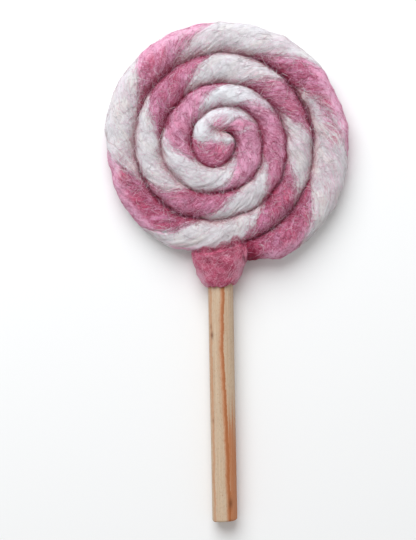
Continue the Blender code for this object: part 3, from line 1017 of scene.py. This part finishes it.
# Tones of the threads. The first of a strand's, and of the fuzz's, is painted shade for threads down in a
# seam.
PINK_FIBRE_TONES = (
    PINK_SEAM_SHADE, srgb(160, 48, 84), srgb(194, 98, 134), srgb(218, 146, 178), srgb(234, 186, 210),
)
WHITE_FIBRE_TONES = (
    WHITE_SEAM_SHADE, srgb(198, 190, 192), srgb(211, 207, 210), srgb(225, 223, 227), srgb(238, 239, 243),
)
PALE_FUZZ_TONES = (srgb(196, 120, 148), srgb(228, 172, 200), srgb(238, 230, 234))
PINK_FUZZ_TONES = (PINK_SEAM_SHADE, srgb(178, 84, 116), srgb(206, 126, 156))
COLLAR_FIBRE_TONES = (srgb(176, 62, 94), srgb(208, 100, 132), srgb(228, 146, 174), srgb(240, 192, 210))


def thread_mesh(name, paths, radii, chosen, tones, slot, seed):
    """One mesh of many threads. Each ends in a point, and has one of a few plain tones."""
    count, steps = paths.shape[:2]
    rng = np.random.default_rng(seed)
    along = unit(np.gradient(paths, axis=1))
    side = unit(np.cross(along, unit(rng.normal(size=(count, 1, 3)))))
    up = np.cross(along, side)
    taper = np.sqrt(np.sin(np.linspace(0.0, math.pi, steps)))[1:-1]
    turns = TURN * np.arange(3) / 3
    ring = (
        side[:, 1:-1, None] * np.cos(turns)[:, None] + up[:, 1:-1, None] * np.sin(turns)[:, None]
    ) * (radii[:, None, None, None] * taper[:, None, None])
    rings = paths[:, 1:-1, None] + ring
    points = np.concatenate([paths[:, :1], rings.reshape(count, -1, 3), paths[:, -1:]], 1)
    per_thread = points.shape[1]

    faces = []
    for j in range(3):
        k = (j + 1) % 3
        faces.append((0, 1 + k, 1 + j))
        for i in range(steps - 3):
            a, b = 1 + 3 * i + j, 1 + 3 * i + k
            faces += [(a, b, a + 3), (b, b + 3, a + 3)]
        last = 1 + 3 * (steps - 3)
        faces.append((per_thread - 1, last + j, last + k))
    faces = np.array(faces)
    faces = (faces[None] + per_thread * np.arange(count)[:, None, None]).reshape(-1, 3)
    obj = make_mesh(name, points.reshape(-1, 3), faces)
    for number, tone in enumerate(tones):
        material = Nodes(f"{name}_tone_{number}").finish(tone, WOOL_ROUGHNESS, WOOL_SPECULAR)
        obj.data.materials.append(material)
    per_face = np.repeat(chosen, len(faces) // count).astype(np.int32)
    obj.data.polygons.foreach_set("material_index", per_face)
    place(obj, slot)


def choose_tones(rng, depth, count_of_tones, paler=0.0):
    """The first tone, painted shade, goes to threads down in a seam. The rest are spread evenly, or towards
    the pale end.
    """
    spread = rng.uniform(1, count_of_tones, len(depth)) + paler
    chosen = np.clip(spread, 1, count_of_tones - 1).astype(int)
    return np.where(rng.uniform(size=len(depth)) < depth, 0, chosen)


def on_free_rim(rope, at, angle):
    return (np.cos(angle) < -0.2) & (at > rope.last_turn)


def on_strand(rope, edges, at, angle):
    first, last = (rope.edges(at)[k] for k in edges)
    return (angle - first) % TURN < last - first


def spots_across(rng, rope, edges, count):
    """Lengths along a strand and shares of the way across it, mostly on the side that shows."""
    starts, shares = [], []
    while sum(map(len, starts)) < count:
        at = rng.uniform(0.5, rope.length - 0.5, count)
        share = rng.uniform(-OVERSHOOT, 1 + OVERSHOOT, count)
        first, last = (rope.edges(at)[k] for k in edges)
        angle = first + (last - first) * share
        shows = np.where(np.sin(angle) > 0.1, 1.0, np.where(on_free_rim(rope, at, angle), 0.6, 0.08))
        kept = rng.uniform(size=count) < shows * (last - first) / (1.5 * math.pi)
        starts.append(at[kept])
        shares.append(share[kept])
    return np.concatenate(starts)[:count], np.concatenate(shares)[:count]


def lying_threads(rope, name, edges, count, length, slant_deg, tones, paleness, slot, seed):
    """Threads that lie along a strand."""
    rng = np.random.default_rng(seed)
    at, share = spots_across(rng, rope, edges, count)
    size = rng.uniform(*length, (count, 1))
    way = np.linspace(-0.5, 0.5, FIBRE_POINTS)
    lengths = np.clip(at[:, None] + size * way, 0.1, rope.length - 0.1)
    slant = rng.normal(0.0, math.tan(math.radians(slant_deg)), (count, 1)) * size * way
    waves = rng.uniform(4.0, 9.0, (count, 1)) * way + rng.uniform(0, TURN, (count, 1))
    curl = rng.normal(0.0, 0.45, (count, 1)) * np.cos(waves)
    share = share[:, None] + (slant + curl) / SKIN_WIDTH
    first, last = (rope.edges(lengths)[k] for k in edges)
    angle = first + (last - first) * share
    heights = -0.06 + LYING_LIFT * rng.uniform(size=(count, 1)) ** 2 * np.cos(math.pi * way)
    paths, _ = rope.skin(lengths, angle, heights)
    middle = angle[:, FIBRE_POINTS // 2]
    # Threads on pale stretches take paler tones, and on the free rim painted light.
    paler = FIBRE_PALENESS * (paleness(rope, at, middle) - MIDDLE_PALENESS)
    # Threads down in a seam more often take the first tone: painted shade.
    chosen = choose_tones(rng, seam_shade_at(rope, at, middle), len(tones), paler)
    radii = rng.uniform(*FIBRE_RADIUS, count)
    thread_mesh(name, paths, radii, chosen, tones, slot, seed + 1)


def spots_on_top(rng, rope, edges, count):
    """Lengths and angles on the rope's upper side, or on one strand of it, and fewer on the free rim."""
    at = rng.uniform(0.5, rope.length - 0.5, 6 * count)
    angle = rng.uniform(0, TURN, len(at))
    if edges:
        inside = on_strand(rope, edges, at, angle)
        at, angle = at[inside], angle[inside]
    rim = on_free_rim(rope, at, angle)
    kept = ((np.sin(angle) > 0.25) & ~rim) | (rim & (rng.uniform(size=len(at)) < 0.35))
    return at[kept][:count], angle[kept][:count]


def loose_paths(rng, root, normal, length, reach, rim):
    """Curly threads that leave the skin in any direction and come back to it, shorter on the free rim."""
    count = len(root)
    heading = unit(rng.normal(size=(count, 3)))
    heading = unit(heading - normal * (heading * normal).sum(1, keepdims=True))
    size = rng.uniform(*length, count) * np.where(rim, 0.4, 1.0)
    rise = rng.uniform(*reach, count) * np.where(rim, 0.5, 1.0)
    bend = rng.normal(0.0, 0.55, (count, 1, 1))
    way = np.linspace(0.0, 1.0, FIBRE_POINTS)[None, :, None]
    waves = rng.uniform(5.0, 10.0, (count, 1, 1)) * way + rng.uniform(0, TURN, (count, 1, 1))
    sideways = np.cross(normal, heading)[:, None]
    return (
        root[:, None]
        + heading[:, None] * size[:, None, None] * way
        + sideways * size[:, None, None] * (bend * way**2 + 0.08 * np.sin(waves))
        + normal[:, None] * (rise[:, None, None] * np.sin(math.pi * way) - 0.08)
    )


def stray_threads(rope, name, count, length, reach, tones, slot, seed, edges=None):
    """Fuzz: loose threads that lie over the felt. They stay out of the rope and don't stand up."""
    rng = np.random.default_rng(seed)
    at, angle = spots_on_top(rng, rope, edges, count)
    root, normal = rope.skin(at, angle)
    paths = loose_paths(rng, root, normal, length, reach, on_free_rim(rope, at, angle))
    top = rope_top(paths[..., 0], paths[..., 1])
    above = (root[:, None, 2] > ROPE_HEIGHT / 2) & (top > 0)
    height = np.where(above, np.maximum(paths[..., 2], top + 0.03), paths[..., 2])
    ceiling = HIGHEST_FUZZ + FUZZ_OVER_HIGHEST * np.maximum(height - HIGHEST_FUZZ, 0.0)
    paths[..., 2] = np.clip(height, LOWEST_FUZZ, ceiling)
    # Threads down in a seam more often take the first tone: painted shade.
    chosen = choose_tones(rng, 0.8 * seam_shade_at(rope, at, angle), len(tones))
    matched = (chosen > 0) & (rng.uniform(size=len(at)) < 0.65)
    chosen = np.where(matched, np.where(on_strand(rope, PINK_EDGES, at, angle), 1, 2), chosen)
    radii = rng.uniform(*FIBRE_RADIUS, len(at)) * 0.8
    thread_mesh(name, paths, radii, chosen, tones, slot, seed + 1)


def collar_threads(name, count, tones, slot, seed):
    """Threads wound round the collar, a few of them slanting up on to the coil."""
    rng = np.random.default_rng(seed)
    share = rng.uniform(0.02, 1.05, count)
    on_top = rng.uniform(size=count) < 0.8
    turned = np.where(on_top, rng.uniform(0, math.pi, count), rng.uniform(0, ALMOST_A_TURN, count))
    way = np.linspace(-0.5, 0.5, FIBRE_POINTS)
    spread = rng.uniform(0.15, 0.6, (count, 1))
    slant = rng.normal(0.0, 0.13, (count, 1))
    curl = rng.normal(0.0, 0.02, (count, 1))
    curl = curl * np.cos(TURN * way + rng.uniform(0, ALMOST_A_TURN, (count, 1)))
    shares = np.clip(share[:, None] + slant * way * 2 + curl, 0.0, 1.1)
    lift = -0.05 + rng.uniform(0.05, 0.22, (count, 1)) * np.cos(math.pi * way)
    paths, _ = collar_skin(shares, turned[:, None] + spread * way, lift)
    # Threads on the collar's sides take paler tones: painted light.
    paler = COLLAR_SIDE_LIGHT * smooth_step(0.4, 0.95, np.abs(np.cos(turned)))
    paler = paler * (1 - smooth_step(0.4, 0.7, share)) - 0.15
    chosen = np.clip(rng.uniform(0, len(tones), count) + paler, 0, len(tones) - 1).astype(int)
    radii = rng.uniform(*FIBRE_RADIUS, count) * 0.7
    thread_mesh(name, paths, radii, chosen, tones, slot, seed + 1)


def make_fibres(rope):
    lying_threads(
        rope, "pink_fibres", PINK_EDGES, 8000, (1.6, 4.2), 45.0, PINK_FIBRE_TONES, pink_paleness_with_rim_light,
        "pink_wool", 101,
    )
    lying_threads(
        rope, "white_fibres", WHITE_EDGES, 7600, (2.2, 6.0), 28.0, WHITE_FIBRE_TONES, white_paleness_with_rim_light,
        "white_wool", 201,
    )
    stray_threads(rope, "pale_fuzz", 7400, (1.4, 4.2), (0.1, 0.5), PALE_FUZZ_TONES, "white_wool", 301)
    stray_threads(
        rope, "pink_fuzz", 4200, (1.4, 3.6), (0.1, 0.4), PINK_FUZZ_TONES, "pink_wool", 401, PINK_EDGES,
    )
    collar_threads("collar_fibres", 3400, COLLAR_FIBRE_TONES, "collar_felt", 501)


# The photograph's frame: its size, how much of the object one pixel holds, and where the pole is in it.
PHOTO_SIZE = (416, 540)
MM_PER_PIXEL = 0.32
POLE_PIXEL = (220.0, 143.0)
CAMERA_HEIGHT = 620.0
SHARP_HEIGHT = 6.0


def make_camera():
    data = bpy.data.cameras.new("camera")
    data.sensor_fit = "VERTICAL"
    data.angle_y = 2 * math.atan(PHOTO_SIZE[1] * MM_PER_PIXEL / 2 / (CAMERA_HEIGHT - SHARP_HEIGHT))
    data.clip_start = 0.01
    camera = new_object("camera", data)
    pole = pole_place()
    camera.location = (
        pole[0] + (PHOTO_SIZE[0] / 2 - POLE_PIXEL[0]) * MM_PER_PIXEL * MM,
        pole[1] - (PHOTO_SIZE[1] / 2 - POLE_PIXEL[1]) * MM_PER_PIXEL * MM,
        CAMERA_HEIGHT * MM,
    )
    bpy.context.scene.camera = camera


# One soft round light high up behind the coil, and an even sky. Places and sizes are in metres.
KEY_PLACE = (-0.16, 0.50, 0.56)
KEY_AIM = (0.0, 0.04, 0.0)
KEY_SIZE = 0.75
KEY_POWER = 6.4
KEY_COLOUR = (0.95, 0.98, 1.0)
SKY_COLOUR = (1.0, 0.985, 0.975, 1.0)
SKY_STRENGTH = 0.455
FLOOR_COLOUR = (0.92, 0.92, 0.92, 1.0)
FLOOR_REACH = 3000


def make_key_light():
    data = bpy.data.lights.new("key", "AREA")
    data.shape = "DISK"
    data.size = KEY_SIZE
    data.energy = KEY_POWER
    data.color = KEY_COLOUR
    light = new_object("key", data)
    light.location = KEY_PLACE
    aim = np.subtract(KEY_AIM, KEY_PLACE)
    tilt = math.acos(-aim[2] / np.linalg.norm(aim))
    light.rotation_euler = (tilt, 0.0, math.atan2(aim[1], aim[0]) - math.pi / 2)


def make_stage():
    corners = [(x * FLOOR_REACH, y * FLOOR_REACH, 0) for x, y in ((-1, -1), (1, -1), (1, 1), (-1, 1))]
    floor = make_mesh("floor", corners, [(0, 1, 2, 3)], smooth=False)
    floor.data.materials.append(Nodes("floor").finish(FLOOR_COLOUR, 0.9, 0.1))

    world = bpy.data.worlds.new("studio")
    world.use_nodes = True
    sky = world.node_tree.nodes["Background"]
    sky.inputs["Color"].default_value = SKY_COLOUR
    sky.inputs["Strength"].default_value = SKY_STRENGTH
    bpy.context.scene.world = world
    make_key_light()
    bpy.context.scene.view_settings.view_transform = "Standard"


rope = Rope()
make_rope(rope)
make_stick()
make_collar()
make_fibres(rope)
make_camera()
make_stage()
